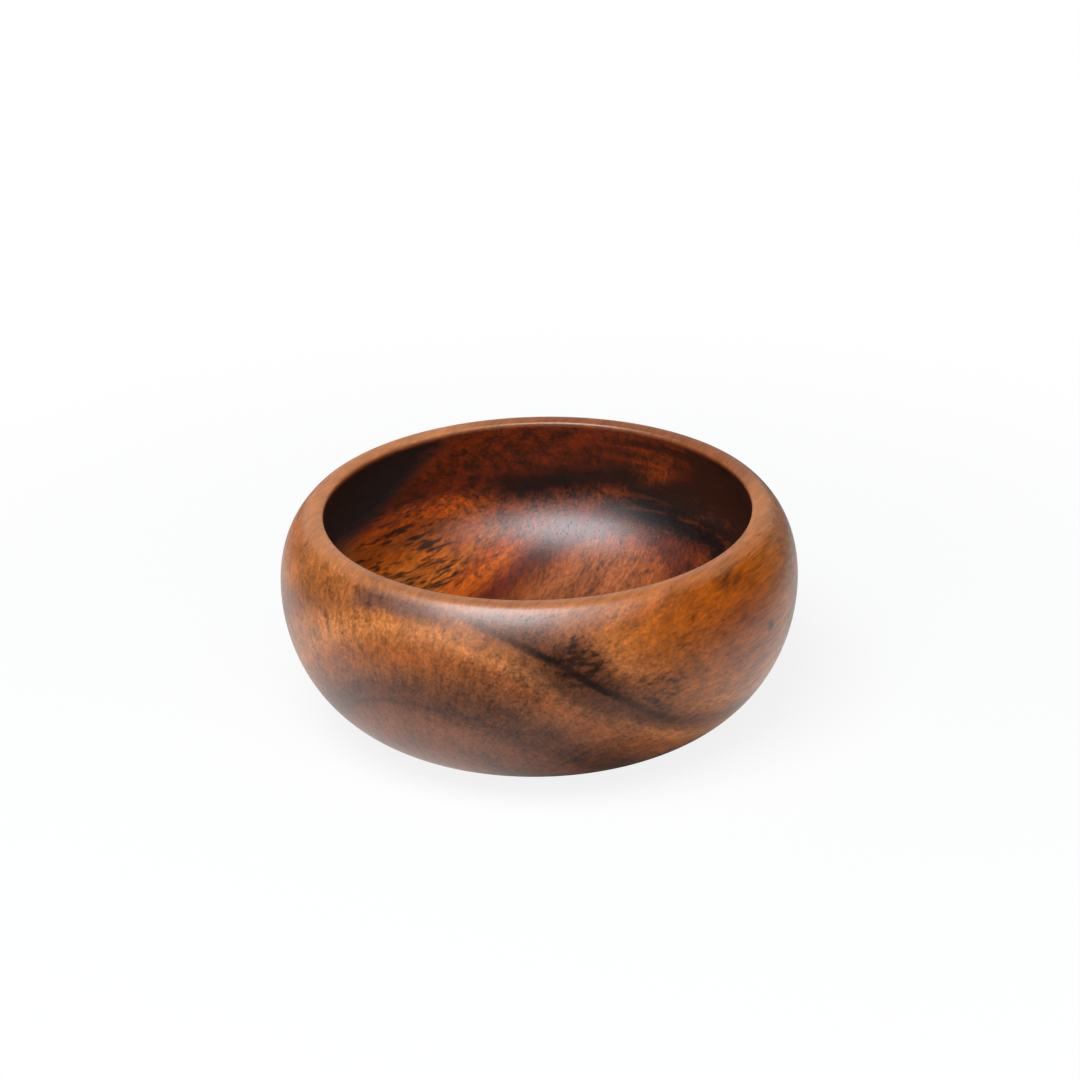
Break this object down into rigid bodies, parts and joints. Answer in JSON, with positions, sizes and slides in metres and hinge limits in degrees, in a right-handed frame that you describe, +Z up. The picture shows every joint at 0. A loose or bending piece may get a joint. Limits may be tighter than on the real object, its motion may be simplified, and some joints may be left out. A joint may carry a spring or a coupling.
{
  "type": "wooden bowl",
  "caption": "Round bowl turned from solid wood: full belly, shoulder drawn in to a narrow softened rim, rounded hollow and flat base, for serving food.",
  "frame": {"origin": "centre of the flat base, on the surface that the bowl stands on", "axes": "+Z up along the axis that the bowl was turned on; -Y towards the viewer of the picture, +X to the viewer's right"},
  "size_m": [0.152, 0.152, 0.0633],
  "materials": {
    "oiled_wood": "satin clear finish over streaked dark and golden brown hardwood"
  },
  "bodies": {
    "root": {"bowl": "oiled_wood"}
  },
  "joints": []
}
